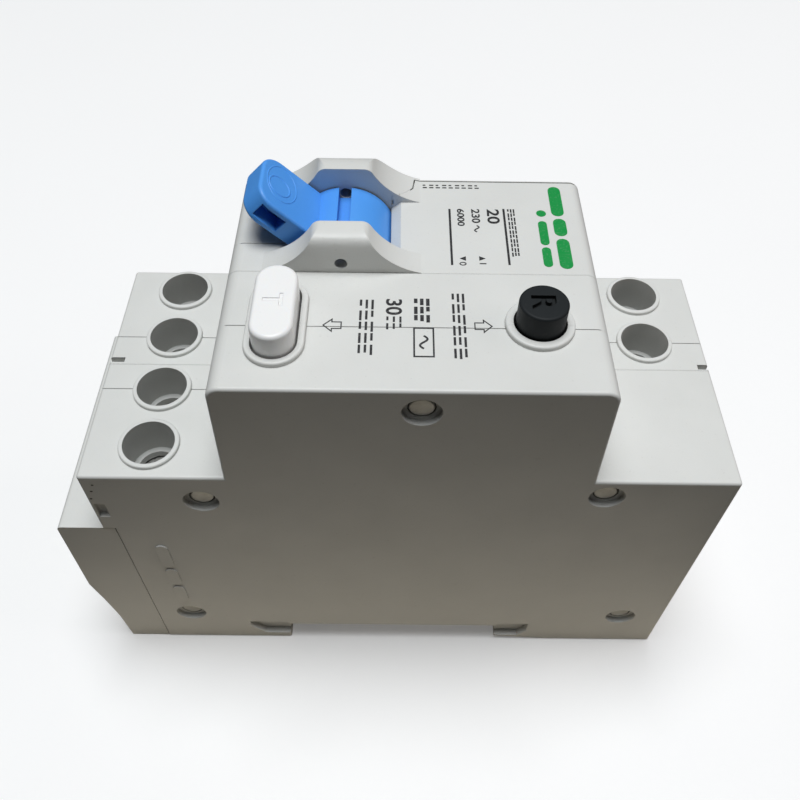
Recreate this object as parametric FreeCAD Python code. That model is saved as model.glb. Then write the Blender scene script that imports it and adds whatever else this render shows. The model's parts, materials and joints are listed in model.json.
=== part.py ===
import FreeCAD, Part

import math
import os

# A residual current breaker, one pole and neutral, that clips on a 35 mm rail: a breaker module
# and a residual-current module, riveted side by side. Lengths are in millimetres.
#
# The origin is on the rail seat, on the centre line of the nose, between the two modules.
# +X points to the supply terminals, +Y from the residual-current module to the breaker module,
# and +Z away from the rail, out of the panel.

V = FreeCAD.Vector

# Housing
MODULE = 18.0           # width of one module, along Y
END = 40.1              # from the centre line to the end face
SHELF = 42.2            # height of the terminal shelves
NOSE_TOP = 59.1         # height of the nose
NOSE_HALF = 21.9        # half length of the nose at its top
NOSE_BASE_HALF = 22.4   # and at the shelves
FOOT = -4.8             # underside of the feet
WALL = 1.6              # top, bottom and end walls
SIDE_WALL = 1.1         # the outer side faces
INNER_WALL = 1.2        # the faces where the modules meet
SEAM_WIDTH = 0.1        # grooves along the parting lines
SEAM_DEPTH = 0.12
CAP_GAP = 0.16          # gap round the cap on the breaker's nose
CAP_GAP_DEPTH = 0.35
CORNER = 1.6            # rounding of the nose's top edges
EDGE = 0.4              # rounding of the side faces' outline

# Rail channel
MOUTH_LEFT = -18.4
MOUTH_RIGHT = 14.6
HOOK_SLOT = 17.9        # far end of the slot over the fixed hook
FLANGE_GAP = 1.2        # height of that slot, for a 1 mm rail flange
HOOK_RELIEF = 0.15      # the slot is this much higher than the rail seat beside it

# The skirt over the links at the load end
SKIRT_JOINT = -38.5
SKIRT_TOP = 29.9
SKIRT_SIDES = (-17.85, 16.4)
SKIRT_OUTLINE = [(-46.2, SKIRT_TOP), (-46.55, 13.3), (-45.6, 8.1), (-44.8, 2.4), (-44.4, FOOT)]

# Parting planes, along Y
BREAKER_SEAM = 4.9
RESIDUAL_SEAM_SHELF = -4.25
RESIDUAL_SEAM_NOSE = -8.8

# Toggle
PIN_R = 1.0             # the toggle's pin and the contact carrier's pin
TOGGLE_X = -8.4
TOGGLE_Z = 55.3
DRUM_R = 6.15
DRUM_SIDES = (3.5, 12.9)
WINDOW_SIDES = (3.3, 13.1)
WINDOW_HALF = 5.75
HUMP_TOP = 64.0
LEVER_TIP = 14.65       # from the axis to the tip
LEVER_HALF = 1.72       # half thickness
LEVER_SIDES = (4.2, 12.8)
TOGGLE_REST = -46.0     # the lever's lean from upright, switched off
TOGGLE_SWING = 92.0
SEAL_HOLE_R = 0.75
SEAL_HOLE_Z = 60.4

# Contact carrier, turned by the toggle through a wire link
CRANK = 4.2
LINK_LENGTH = 13.0
LINK_Y = 8.1
CARRIER_Z = 20.3
CARRIER_SWING = 18.0
ARM_REST = 12.0         # lean of the open contact arms
POLES = {"phase": (10.6, 15.0), "neutral": (3.0, 7.4)}

# Trip pieces
TRIP_X = -3.1
TRIP_Z = 39.0
TRIP_PIN_R = 0.8
PLUNGER_Z = 30.5
PLUNGER_Y = 12.7        # axis of the magnetic release, in the breaker
RELAY_Y = -9.4          # axis of the relay, in the residual-current module

# Buttons on the residual-current module
BUTTON_Y = -8.3
TEST_X = -15.15
TEST_HALF = (2.375, 5.7)
TEST_TOP = 62.7
TEST_LEDGE = 47.6       # level that the test button's spring stands on
RESET_X = 14.1
RESET_R = 2.75
RESET_TOP = 62.8
RESET_LEDGE = 46.6
BUTTON_RIM = 0.6        # height of the rims round the buttons
BUTTON_FLANGE = (56.2, 57.4)
BUTTON_SLACK = 0.25

# Terminals: the axis of each screw, and the levels that they share
TERMINAL_X = 32.15
TERMINALS = {
    "supply_phase": (TERMINAL_X, 13.9),
    "supply_neutral": (TERMINAL_X, 4.9),
    "linked_phase": (-TERMINAL_X, 13.9),
    "linked_neutral": (-TERMINAL_X, 4.9),
    "load_phase": (-TERMINAL_X, -13.1),
    "load_neutral": (-TERMINAL_X, -4.2),
}
WELL_R = 3.2
WELL_FLOOR = 37.2
LEDGE = 36.2
LEDGE_R = 2.5
COLLAR_R = 3.75
COLLAR = 0.5
HEAD_R = 2.8
HEAD_BOTTOM = 33.2
SHANK_R = 2.0
CAGE_HALF = (3.8, 2.9)  # along X and Y
CAGE_BOTTOM = 14.0
CAGE_TOP = 26.9
TONGUE_BOTTOM = 23.1
TONGUE_TOP = 24.3
ENTRY_HALF = 2.7        # half width of a cable entry
ENTRY_LEVELS = (15.4, 23.0)

# Rivet axes (x, z)
RIVETS = [(1.0, 55.5), (-25.95, 37.0), (24.3, 38.9), (-33.2, 4.2), (33.6, 4.2)]
RIVET_R = 1.55
RIVET_RECESS_R = 2.25
RIVET_END = 17.25
BOSS_R = 2.75

# Links from the breaker's load terminals, behind the skirt, to the residual-current module
LINK_BAR_R = 1.2
LINK_LEVEL = 21.8
LINK_INLET_Y = -3.2
LINK_DROPS = {"linked_phase": (-43.3, 11.5), "linked_neutral": (-40.75, 8.4)}

# Rail clips
CLIP_HALF = 4.1
CLIP_RIB_HALF = 4.9
CLIP_LEVELS = (-4.3, -1.4)
CLIP_SLACK = 0.15

# Sensing core
CORE_X = 0.0
CORE_Z = 14.5
CORE_RADII = (5.5, 10.0)
CORE_SIDES = (-13.5, -6.0)

EPS = 0.01
FAR = 60.0              # beyond every face of the device


# Basic shapes

def box(x, y, z):
    """A block between the pairs of limits x, y and z."""
    return Part.makeBox(x[1] - x[0], y[1] - y[0], z[1] - z[0], V(x[0], y[0], z[0]))


def rod_x(y, z, r, x):
    return Part.makeCylinder(r, x[1] - x[0], V(x[0], y, z), V(1, 0, 0))


def rod_y(x, z, r, y):
    return Part.makeCylinder(r, y[1] - y[0], V(x, y[0], z), V(0, 1, 0))


def rod_z(x, y, r, z):
    return Part.makeCylinder(r, z[1] - z[0], V(x, y, z[0]), V(0, 0, 1))


def prism(points, y):
    """The outline through the (x, z) points, extruded between the two y limits."""
    corners = [V(px, y[0], pz) for px, pz in points]
    face = Part.Face(Part.makePolygon(corners + corners[:1]))
    return face.extrude(V(0, y[1] - y[0], 0))


def stadium(x, y, half_x, half_y, z):
    """An upright bar with a straight-sided, round-ended outline that is long in Y."""
    reach = half_y - half_x
    middle = box((x - half_x, x + half_x), (y - reach, y + reach), z)
    return middle.fuse([rod_z(x, y - reach, half_x, z), rod_z(x, y + reach, half_x, z)]).removeSplitter()


def join(shapes):
    shapes = list(shapes)
    return shapes[0].fuse(shapes[1:]).removeSplitter()


def turned(shape, x, z, degrees):
    """The shape turned about the line along +Y through (x, z)."""
    copy = shape.copy()
    copy.rotate(V(x, 0, z), V(0, 1, 0), degrees)
    return copy


def edges_along_y(shape, corners, reach=0.05):
    """The shape's edges that run along Y through the given (x, z) corners."""
    found = []
    for edge in shape.Edges:
        a, b = edge.Vertexes[0].Point, edge.Vertexes[-1].Point
        runs_along_y = math.hypot(a.x - b.x, a.z - b.z) < EPS
        if runs_along_y and any(math.hypot(a.x - cx, a.z - cz) < reach for cx, cz in corners):
            found.append(edge)
    return found


def edges_at_y(shape, y):
    return [e for e in shape.Edges if e.BoundBox.YMin > y - EPS and e.BoundBox.YMax < y + EPS]


def edges_at_z(shape, z):
    return [e for e in shape.Edges if e.BoundBox.ZMin > z - EPS and e.BoundBox.ZMax < z + EPS]


def bent_strip(points, thickness, y):
    """Sheet metal along the (x, z) points: flat runs with a round bend at each inner point."""
    runs = []
    for (x0, z0), (x1, z1) in zip(points, points[1:]):
        length = math.hypot(x1 - x0, z1 - z0)
        run = box((0, length), y, (-thickness / 2, thickness / 2))
        run.rotate(V(0, 0, 0), V(0, 1, 0), -math.degrees(math.atan2(z1 - z0, x1 - x0)))
        run.translate(V(x0, 0, z0))
        runs.append(run)
    bends = [rod_y(x, z, thickness / 2, y) for x, z in points[1:-1]]
    return join(runs + bends)


def bent_wire(points, r, bend):
    """A round wire along the points, with each inner corner turned on the given bend radius."""
    points = [V(*p) for p in points]
    edges = []
    start = points[0]
    for before, corner, after in zip(points, points[1:], points[2:]):
        into = (corner - before).normalize()
        out = (after - corner).normalize()
        turn = into.getAngle(out)
        trim = bend * math.tan(turn / 2)
        sag = bend / math.cos(turn / 2) - bend
        arc_start = corner - into * trim
        arc_end = corner + out * trim
        arc_middle = corner + (out - into).normalize() * sag
        edges.append(Part.LineSegment(start, arc_start).toShape())
        edges.append(Part.Arc(arc_start, arc_middle, arc_end).toShape())
        start = arc_end
    edges.append(Part.LineSegment(start, points[-1]).toShape())
    path = Part.Wire(edges)
    ring = Part.Wire(Part.makeCircle(r, points[0], points[1] - points[0]))
    return path.makePipeShell([ring], True, True)


def coil_spring(x, y, z, mean_r, wire_r, turns):
    """A compression spring that stands between the two z levels."""
    pitch = (z[1] - z[0] - 2 * wire_r) / turns
    helix = Part.makeHelix(pitch, pitch * turns, mean_r)
    section = Part.Wire(Part.makeCircle(wire_r, V(mean_r, 0, 0), V(0, 1, 0)))
    spring = Part.Wire(helix).makePipeShell([section], True, True)
    spring.translate(V(x, y, z[0] + wire_r))
    return spring


def save(name, *solids):
    """Writes one sub-part, as one solid or as a group of separate solids."""
    shape = solids[0] if len(solids) == 1 else Part.makeCompound(list(solids))
    for solid in shape.Solids:
        if not solid.isValid():
            raise ValueError("the solid of " + name + " is not valid")
    if not shape.Solids:
        raise ValueError(name + " holds no solid")
    shape.exportStep("parts/" + name + ".step")


# Housing

def module_outline(left_end):
    """Side view of a module, from the load end's foot round to the rail channel."""
    return [
        (left_end, FOOT), (left_end, SKIRT_TOP), (-END, SKIRT_TOP), (-END, SHELF),
        (-NOSE_BASE_HALF, SHELF), (-NOSE_HALF, NOSE_TOP), (NOSE_HALF, NOSE_TOP), (NOSE_BASE_HALF, SHELF),
        (END, SHELF), (END, FOOT), (23.0, FOOT), (MOUTH_RIGHT, FOOT + 0.9),
        (MOUTH_RIGHT, -FLANGE_GAP), (HOOK_SLOT, -FLANGE_GAP), (HOOK_SLOT, 0), (MOUTH_LEFT, 0),
        (MOUTH_LEFT, FOOT),
    ]


def cavity_outline():
    """The space inside a module: the terminal bays, the nose, and down into the supply end's foot."""
    bay = END - WALL
    load_bay = SKIRT_JOINT + WALL
    nose = NOSE_HALF - WALL
    foot_inside = HOOK_SLOT + 2.5
    return [
        (load_bay, WALL), (load_bay, SHELF - WALL), (-nose, SHELF - WALL), (-nose, NOSE_TOP - WALL),
        (nose, NOSE_TOP - WALL), (nose, SHELF - WALL), (bay, SHELF - WALL), (bay, FOOT + WALL),
        (foot_inside, FOOT + WALL), (foot_inside, WALL),
    ]


def module_block(y, outer_y, inner_y):
    """The full outside of a module, rounded along the nose and round both side faces."""
    block = prism(module_outline(SKIRT_JOINT), y)
    nose_corners = [(-NOSE_HALF, NOSE_TOP), (NOSE_HALF, NOSE_TOP)]
    block = block.makeFillet(CORNER, edges_along_y(block, nose_corners))
    shelf_corners = [(-END, SHELF), (END, SHELF)]
    block = block.makeFillet(EDGE, edges_along_y(block, shelf_corners))
    block = block.makeFillet(EDGE, edges_at_y(block, outer_y))
    return block.makeChamfer(SEAM_WIDTH, edges_at_y(block, inner_y))


def seam_groove(y, x_limits=(-FAR, FAR)):
    """A thin ring just under the outside of a module, which marks a parting line."""
    limits = (y - SEAM_WIDTH / 2, y + SEAM_WIDTH / 2)
    outline = prism(module_outline(SKIRT_JOINT), limits)
    corners = [V(px, limits[0], pz) for px, pz in module_outline(SKIRT_JOINT)]
    inner_face = Part.Face(Part.makePolygon(corners + corners[:1]))
    core = inner_face.makeOffset2D(-SEAM_DEPTH).extrude(V(0, SEAM_WIDTH, 0))
    ring = outline.cut(core)
    return ring.common(box(x_limits, (y - 1, y + 1), (-10, 70)))


def well_outside(x, y):
    """Plastic round a screw's well, with its low collar on the shelf."""
    tube = rod_z(x, y, WELL_R + 0.9, (LEDGE, SHELF - WALL))
    collar = rod_z(x, y, COLLAR_R, (SHELF - 1.0, SHELF + COLLAR))
    rim = edges_at_z(collar, SHELF + COLLAR)
    return tube.fuse(collar.makeFillet(0.2, rim))


def well_inside(x, y):
    """The well, and the smaller hole in the ledge that keeps the screw captive."""
    well = rod_z(x, y, WELL_R, (WELL_FLOOR, SHELF + 1))
    ledge_hole = rod_z(x, y, LEDGE_R, (LEDGE - 1, WELL_FLOOR + 1))
    return well.fuse(ledge_hole)


def cable_entry(y, x_limits):
    """A tunnel with rounded corners for the cable into a terminal."""
    tunnel = box(x_limits, (y - ENTRY_HALF, y + ENTRY_HALF), ENTRY_LEVELS)
    long_edges = [e for e in tunnel.Edges if e.BoundBox.XLength > abs(x_limits[1] - x_limits[0]) - EPS]
    return tunnel.makeFillet(1.4, long_edges)


def side_pockets(y_face, inward):
    """The shallow recesses in a side face, next to the mouth of the rail channel."""
    y = tuple(sorted((y_face, y_face + inward * 1.0)))
    left = prism([(-24.5, -0.6), (-24.5, 1.0), (MOUTH_LEFT, 1.0), (MOUTH_LEFT, -3.2), (-22.4, -3.2)], y)
    left = left.makeFillet(0.9, edges_along_y(left, [(-24.5, -0.6), (-22.4, -3.2)]))
    right = prism([(MOUTH_RIGHT, -3.3), (18.3, -3.3), (19.6, -1.6), (19.6, 1.0), (MOUTH_RIGHT, 1.0)], y)
    return [left, right]


def rivet_bosses(y):
    return [rod_y(x, z, BOSS_R, y) for x, z in RIVETS]


def rivet_holes(y, outer_y):
    """Through holes for the rivets, with the recess that takes each head at the outer face."""
    holes = [rod_y(x, z, RIVET_R + 0.05, y) for x, z in RIVETS]
    depth = (outer_y - 0.8, outer_y + 1) if outer_y > 0 else (outer_y - 1, outer_y + 0.8)
    return holes + [rod_y(x, z, RIVET_RECESS_R, depth) for x, z in RIVETS]


def clip_channel(y):
    """The T-shaped channel that a rail clip slides in, open to the bottom and to the load end."""
    x = (-FAR, MOUTH_LEFT + 1)
    throat_half = CLIP_HALF + CLIP_SLACK
    groove_half = CLIP_RIB_HALF + CLIP_SLACK
    throat = box(x, (y - throat_half, y + throat_half), (FOOT - 1, CLIP_LEVELS[1] + 2 * CLIP_SLACK))
    grooves = box(x, (y - groove_half, y + groove_half), (-3.5, -2.1))
    return throat.fuse(grooves)


def hook_relief(y):
    """Raises the roof of the fixed hook's slot, so that the rail seats on the face beside it."""
    return box((MOUTH_RIGHT - 0.2, HOOK_SLOT), y, (-EPS, HOOK_RELIEF))


def hump_front_view(y):
    """A flat crest with hollow flanks that run out into the nose, extruded between the y limits."""
    half_crest = 3.1
    half_base = 9.4
    base = NOSE_TOP - 0.6
    flank = [(half_crest, HUMP_TOP), (5.71, 60.8), (half_base, NOSE_TOP), (half_base, base)]
    right = [V(TOGGLE_X + dx, y[0], z) for dx, z in flank]
    left = [V(TOGGLE_X - dx, y[0], z) for dx, z in flank]
    edges = [
        Part.LineSegment(left[0], right[0]),
        Part.Arc(right[0], right[1], right[2]),
        Part.LineSegment(right[2], right[3]),
        Part.LineSegment(right[3], left[3]),
        Part.LineSegment(left[3], left[2]),
        Part.Arc(left[2], left[1], left[0]),
    ]
    solid = Part.Face(Part.Wire([e.toShape() for e in edges])).extrude(V(0, y[1] - y[0], 0))
    crest_corners = [(p.x, p.z) for p in (right[0], left[0])]
    return solid.makeFillet(1.3, edges_along_y(solid, crest_corners))


def hump(inner_y, outer_y, shoulder, fullness):
    """A guard beside the toggle. Its outer face curves from the crest down to an upright shoulder.

    Fullness 1 gives an even curve, and more keeps it near level for longer before it turns down.
    """
    base = NOSE_TOP - 1
    crest = V(0, inner_y, HUMP_TOP)
    curve = Part.BezierCurve()
    curve.setPoles([crest, V(0, outer_y, HUMP_TOP), V(0, outer_y, shoulder)])
    curve.setWeight(2, fullness)
    points = [V(0, outer_y, shoulder), V(0, outer_y, base), V(0, inner_y, base), crest]
    edges = [curve] + [Part.LineSegment(a, b) for a, b in zip(points, points[1:])]
    side_view = Part.Face(Part.Wire([e.toShape() for e in edges])).extrude(V(2 * FAR, 0, 0))
    side_view.translate(V(TOGGLE_X - FAR, 0, 0))
    sides = tuple(sorted((inner_y, outer_y)))
    return hump_front_view(sides).common(side_view)


def toggle_window():
    """The opening for the drum: straight walls, a shallow chamfer at each end, room for the drum below."""
    left = TOGGLE_X - WINDOW_HALF
    right = TOGGLE_X + WINDOW_HALF
    shaft = box((left, right), WINDOW_SIDES, (NOSE_TOP - 3, HUMP_TOP + 1))
    room = rod_y(TOGGLE_X, TOGGLE_Z, DRUM_R + 0.15, WINDOW_SIDES)
    run_out = 1.2
    depth = 1.0
    chamfer = prism([
        (left, NOSE_TOP - depth), (left - run_out, NOSE_TOP), (left - run_out, HUMP_TOP + 1),
        (right + run_out, HUMP_TOP + 1), (right + run_out, NOSE_TOP), (right, NOSE_TOP - depth),
    ], WINDOW_SIDES)
    return join([shaft, room, chamfer])


def key_slots():
    """A small slot in the corner of each shelf, at the plane where the modules meet."""
    depth = (SHELF - 0.9, SHELF + 1)
    return [box((-END - 1, -END + 2.0), (0.35, 1.15), depth), box((END - 1.5, END + 1), (0.2, 1.0), depth)]


def trip_opening():
    """The hole in both inner walls for the finger of the transfer lever."""
    return box((-4.2, 1.8), (-INNER_WALL - 1, INNER_WALL + 1), (31.0, 37.0))


def pin_seats(x, z, walls):
    """Short bosses inside both walls of the breaker, and the blind holes that a pin sits in."""
    front, rear = walls
    boss_r = PIN_R + 1.6
    bosses = [rod_y(x, z, boss_r, (0.8, front)), rod_y(x, z, boss_r, (rear, MODULE - 0.8))]
    hole = rod_y(x, z, PIN_R + 0.03, (0.7, MODULE - 0.7))
    return bosses, hole


def breaker_block():
    """The whole breaker housing, before it is parted into two shells."""
    inside_y = (INNER_WALL, MODULE - SIDE_WALL)
    block = module_block((0, MODULE), MODULE, 0)
    flange = box((-END, SKIRT_JOINT + 1), (SKIRT_SIDES[1] + 0.05, MODULE), (FOOT, SKIRT_TOP + 1))
    front_hump = hump(WINDOW_SIDES[0], 0, 60.0, 2.5)
    rear_hump = hump(WINDOW_SIDES[1], MODULE, 59.9, 1.0)
    block = join([block, flange, front_hump, rear_hump])
    block = block.cut(prism(cavity_outline(), inside_y))

    toggle_bosses, toggle_hole = pin_seats(TOGGLE_X, TOGGLE_Z, WINDOW_SIDES)
    carrier_bosses, carrier_hole = pin_seats(TOGGLE_X, CARRIER_Z, (2.2, 15.8))
    trip_boss = rod_y(TRIP_X, TRIP_Z, 2.4, (15.9, MODULE - 0.8))
    trip_hole = rod_y(TRIP_X, TRIP_Z, TRIP_PIN_R + 0.03, (9.0, MODULE - 0.7))
    own = [(x, y) for x, y in TERMINALS.values() if y > 0]
    added = rivet_bosses((0.5, MODULE - 0.5))
    added += toggle_bosses + carrier_bosses + [trip_boss]
    added += [well_outside(x, y) for x, y in own]
    block = join([block] + added)

    limits = (-1, MODULE + 1)
    removed = [well_inside(x, y) for x, y in own]
    removed += [cable_entry(y, (30, END + 1)) for x, y in own if x > 0]
    removed += [cable_entry(y, (SKIRT_JOINT - 1, -30)) for x, y in own if x < 0]
    removed += rivet_holes(limits, MODULE)
    removed += side_pockets(MODULE, -1)
    removed += [toggle_window(), toggle_hole, carrier_hole, trip_hole, trip_opening()] + key_slots()
    removed += [clip_channel(MODULE / 2), hook_relief(limits)]
    removed += [rod_y(TOGGLE_X, SEAL_HOLE_Z, SEAL_HOLE_R, limits)]
    return block.cut(removed)


def breaker_shells():
    """The front shell also carries most of the nose's top face, so the parting line steps back there."""
    block = breaker_block()
    cap_start = 0.3
    cap_seam = MODULE - 0.5
    window_end = TOGGLE_X + WINDOW_HALF
    step_path = [(cap_start, cap_seam), (0.05, 15.6), (-1.45, 13.64), (window_end, WINDOW_SIDES[1])]
    cap_outline = step_path + [(window_end, BREAKER_SEAM - 1), (FAR, BREAKER_SEAM - 1), (FAR, cap_seam)]
    cap_corners = [V(x, y, NOSE_TOP - WALL) for x, y in cap_outline]
    cap = Part.Face(Part.makePolygon(cap_corners + cap_corners[:1])).extrude(V(0, 0, WALL + 1))
    front_side = box((-FAR, FAR), (-1, BREAKER_SEAM), (-10, NOSE_TOP + 10))
    front_zone = front_side.fuse(cap).removeSplitter()
    front = block.common(front_zone)
    rear = block.cut(front_zone)

    half = CAP_GAP / 2
    cut_levels = (NOSE_TOP - CAP_GAP_DEPTH, NOSE_TOP + CAP_GAP_DEPTH)
    marks = [
        seam_groove(BREAKER_SEAM, (-FAR, window_end)),
        seam_groove(BREAKER_SEAM).common(box((0, FAR), (0, MODULE), (-10, SHELF + 1))),
        box((cap_start, NOSE_HALF + 1), (cap_seam - half, cap_seam + half), cut_levels),
    ]
    for (x0, y0), (x1, y1) in zip(step_path, step_path[1:]):
        slot = box((0, math.hypot(x1 - x0, y1 - y0)), (-half, half), (-CAP_GAP_DEPTH, CAP_GAP_DEPTH))
        slot.rotate(V(0, 0, 0), V(0, 0, 1), math.degrees(math.atan2(y1 - y0, x1 - x0)))
        slot.translate(V(x0, y0, NOSE_TOP))
        marks.append(slot)
    return front.cut(marks), rear.cut(marks)


def button_collars():
    """Low rims on the nose, round the test button and the reset button."""
    rim_levels = (NOSE_TOP - 1.0, NOSE_TOP + BUTTON_RIM)
    test_rim = stadium(TEST_X, BUTTON_Y, 3.35, 6.65, rim_levels)
    reset_rim = rod_z(RESET_X, BUTTON_Y, 3.9, rim_levels)
    return [rim.makeFillet(0.25, edges_at_z(rim, rim_levels[1])) for rim in (test_rim, reset_rim)]


def button_openings():
    """The holes in the nose that the two buttons move in."""
    levels = (NOSE_TOP - 4, NOSE_TOP + 2)
    half_x, half_y = TEST_HALF
    return [
        stadium(TEST_X, BUTTON_Y, half_x + 0.225, half_y + BUTTON_SLACK, levels),
        rod_z(RESET_X, BUTTON_Y, RESET_R + BUTTON_SLACK, levels),
    ]


def button_ledges():
    """Ribs inside the nose, with a guide hole, that carry the springs of the two buttons."""
    ledges = []
    for x, level, hole in ((TEST_X, TEST_LEDGE, 1.35), (RESET_X, RESET_LEDGE, 1.45)):
        ledge = box((x - 4.2, x + 4.2), (-12.2, -1.0), (level - 1.2, level))
        ledges.append(ledge.cut(rod_z(x, BUTTON_Y, hole, (level - 3, level + 1))))
    return ledges


def residual_block():
    """The whole housing of the residual-current module, before it is parted into two shells."""
    inside_y = (SIDE_WALL - MODULE, -INNER_WALL)
    block = module_block((-MODULE, 0), -MODULE, 0)
    block = block.cut(prism(cavity_outline(), inside_y))
    own = [(x, y) for x, y in TERMINALS.values() if y < 0]
    seats = [rod_y(TRIP_X, TRIP_Z, 2.4, (-MODULE + 0.5, -11.3)), rod_y(TRIP_X, TRIP_Z, 2.4, (-2.0, -0.5))]
    added = rivet_bosses((0.5 - MODULE, -0.5)) + seats + button_collars() + button_ledges()
    added += [well_outside(x, y) for x, y in own]
    block = join([block] + added)

    limits = (-MODULE - 1, 1)
    removed = [well_inside(x, y) for x, y in own]
    removed += [cable_entry(y, (SKIRT_JOINT - 1, -30)) for x, y in own]
    removed += rivet_holes(limits, -MODULE)
    removed += side_pockets(-MODULE, 1)
    removed += [rod_x(LINK_INLET_Y, z, LINK_BAR_R + 0.15, (-40, -36)) for x, z in LINK_DROPS.values()]
    removed += [trip_opening(), clip_channel(-MODULE / 2), hook_relief(limits)]
    removed += [rod_y(TRIP_X, TRIP_Z, TRIP_PIN_R + 0.03, (-16.0, -0.8))]
    removed += button_openings()
    finger_notch = box((-39.6, -38.2), (-MODULE - 1, -17.4), (33.0, 36.1))
    return block.cut(removed + [finger_notch])


def residual_shells():
    """The parting plane steps: one place on the load shelf, another on the nose, none on the supply shelf."""
    block = residual_block()
    rear_zone = join([
        box((-FAR, -NOSE_BASE_HALF), (RESIDUAL_SEAM_SHELF, 1), (8.0, FAR)),
        box((-FAR, -NOSE_BASE_HALF), (RESIDUAL_SEAM_NOSE, 1), (-10, 8.0)),
        box((-NOSE_BASE_HALF - 1, NOSE_BASE_HALF), (RESIDUAL_SEAM_NOSE, 1), (-10, FAR)),
        box((NOSE_BASE_HALF - 1, END - WALL), (-INNER_WALL, 1), (-10, SHELF - WALL)),
    ])
    ledge_y = (-12.4, RESIDUAL_SEAM_NOSE + 0.1)
    ledge_zone = [box((x - 4.3, x + 4.3), ledge_y, (44, 49)) for x in (TEST_X, RESET_X)]
    rear_zone = join([rear_zone] + ledge_zone)
    front = block.cut(rear_zone)
    rear = block.common(rear_zone)
    marks = [
        seam_groove(RESIDUAL_SEAM_SHELF, (-FAR, -NOSE_BASE_HALF - 0.3)),
        seam_groove(RESIDUAL_SEAM_NOSE, (-NOSE_BASE_HALF, NOSE_BASE_HALF)),
    ]
    return front.cut(marks), rear.cut(marks)


def skirt():
    """The stepped cover at the load end: closed over the breaker's links, open at the cable entries."""
    outline = SKIRT_OUTLINE + [(SKIRT_JOINT, FOOT), (SKIRT_JOINT, SKIRT_TOP)]
    block = prism(outline, SKIRT_SIDES)
    top_corner = [SKIRT_OUTLINE[0]]
    block = block.makeFillet(0.6, edges_along_y(block, top_corner))
    inside = [(-44.9, SKIRT_TOP - 1.4), (-45.1, 13.3), (-44.2, 8.3), (-43.4, 2.4), (-43.2, 0.6),
              (SKIRT_JOINT + 1, 0.6), (SKIRT_JOINT + 1, SKIRT_TOP - 1.4)]
    inside_y = (SKIRT_SIDES[0] + 1.4, SKIRT_SIDES[1] - 1.0)
    block = block.cut(prism(inside, inside_y))
    entries = [y for x, y in TERMINALS.values() if x < 0 and y < 0]
    tunnels = []
    for y in entries:
        sides = (max(y - 3.5, inside_y[0] - 0.5), y + 3.5)
        tunnels.append(box((-45.6, SKIRT_JOINT), sides, (14.4, 24.0)))
    block = join([block] + tunnels)
    holes = [cable_entry(y, (-50, SKIRT_JOINT + 1)) for y in entries]
    return block.cut(holes + [clip_channel(-MODULE / 2), clip_channel(MODULE / 2)])


def rivets():
    pins = []
    for x, z in RIVETS:
        pin = rod_y(x, z, RIVET_R, (-RIVET_END, RIVET_END))
        pins.append(pin.makeFillet(0.3, edges_at_y(pin, RIVET_END) + edges_at_y(pin, -RIVET_END)))
    return pins


def rail_clip(y):
    """A sliding clip: a flat tongue with side ribs, a pull slot at the load end, a wedge under the rail."""
    start, end = -43.8, MOUTH_LEFT
    low, high = CLIP_LEVELS
    tongue = box((start, end), (y - CLIP_HALF, y + CLIP_HALF), (low, high))
    ribs = box((start + 1, end - 0.5), (y - CLIP_RIB_HALF, y + CLIP_RIB_HALF), (-3.35, -2.25))
    wedge_foot = low + 0.4
    wedge_outline = [
        (end - 0.5, high), (end - 0.5, wedge_foot), (-17.2, wedge_foot), (-15.5, -2.0), (-15.5, high),
    ]
    wedge = prism(wedge_outline, (y - CLIP_HALF, y + CLIP_HALF))
    pull_slot = box((start + 1.6, start + 3.2), (y - 2.4, y + 2.4), (low - 1, high + 1))
    relief = [box((-34, -22), (y + s * 1.9 - 0.5, y + s * 1.9 + 0.5), (low - 1, high + 1)) for s in (-1, 1)]
    return join([tongue, ribs, wedge]).cut([pull_slot] + relief)


# Toggle

def toggle_handle():
    """The drum and its lever, drawn upright and then leaned over to the off position."""
    axis = (TOGGLE_X, TOGGLE_Z)
    drum = rod_y(*axis, DRUM_R, DRUM_SIDES)
    lever = box((TOGGLE_X - LEVER_HALF, TOGGLE_X + LEVER_HALF), LEVER_SIDES,
                (TOGGLE_Z, TOGGLE_Z + LEVER_TIP))
    tip = TOGGLE_Z + LEVER_TIP
    tip_edges = [e for e in edges_at_z(lever, tip) if e.BoundBox.XLength > LEVER_HALF]
    lever = lever.makeFillet(2.5, tip_edges)
    rim = [e for e in lever.Edges if e.BoundBox.XLength < EPS and e.BoundBox.ZMin > TOGGLE_Z + EPS]
    lever = lever.makeFillet(0.4, rim)
    tie_pocket = box((TOGGLE_X - 1.0, TOGGLE_X + 1.0), (LEVER_SIDES[0] - 1, LEVER_SIDES[0] + 2.6),
                     (TOGGLE_Z + 10.0, TOGGLE_Z + 13.4))
    handle = turned(join([drum, lever.cut(tie_pocket)]), *axis, TOGGLE_REST)

    groove = box((TOGGLE_X - 0.78, TOGGLE_X + 0.78), (0, MODULE), (TOGGLE_Z + DRUM_R - 1.6, TOGGLE_Z + 9))
    crank_x = TOGGLE_X + CRANK * math.sin(math.radians(TOGGLE_SWING / 2))
    crank_z = TOGGLE_Z - CRANK * math.cos(math.radians(TOGGLE_SWING / 2))
    crank_hole = rod_y(crank_x, crank_z, 0.6, (LINK_Y - 2.3, LINK_Y))
    link_room = box((crank_x - 0.9, crank_x + 5), (LINK_Y - 0.8, LINK_Y + 0.8), (crank_z - 5, crank_z + 0.9))
    bore = rod_y(*axis, PIN_R + 0.06, (0, MODULE))
    spring_room = rod_y(*axis, 3.3, (DRUM_SIDES[1] - 2.2, MODULE))
    return handle.cut([groove, crank_hole, link_room, bore, spring_room])


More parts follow.
